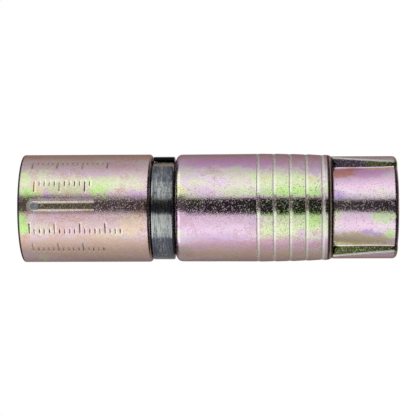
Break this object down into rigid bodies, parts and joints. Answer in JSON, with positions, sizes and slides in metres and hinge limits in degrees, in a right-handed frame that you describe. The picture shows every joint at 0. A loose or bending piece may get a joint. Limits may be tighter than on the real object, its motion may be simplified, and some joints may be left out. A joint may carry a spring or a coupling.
{
  "type": "sleeve expansion anchor",
  "caption": "Steel sleeve anchor shell: spacer tube with a pressed channel, split plastic crush ring, toothed and slit expansion sleeve, and a winged cone that a bolt draws in.",
  "frame": {"origin": "centre of the cone's flat end, on the anchor's axis", "axes": "+Z along the axis from the cone's end to the mouth, X along the cone's two wings, -Y the side with the pressed channel"},
  "size_m": [0.0156, 0.0156, 0.054],
  "materials": {
    "spacer_steel": "yellow zinc plate with pink, gold and green interference colours",
    "ring_nylon": "black moulded nylon with fine streaks round it",
    "sleeve_steel": "yellow zinc plate with pink and lilac interference colours",
    "cone_steel": "yellow zinc plate with lilac and green interference colours"
  },
  "bodies": {
    "root": {"spacer_sleeve": "spacer_steel", "crush_ring": "ring_nylon", "expansion_sleeve": "sleeve_steel", "expander_cone": "cone_steel"}
  },
  "joints": []
}
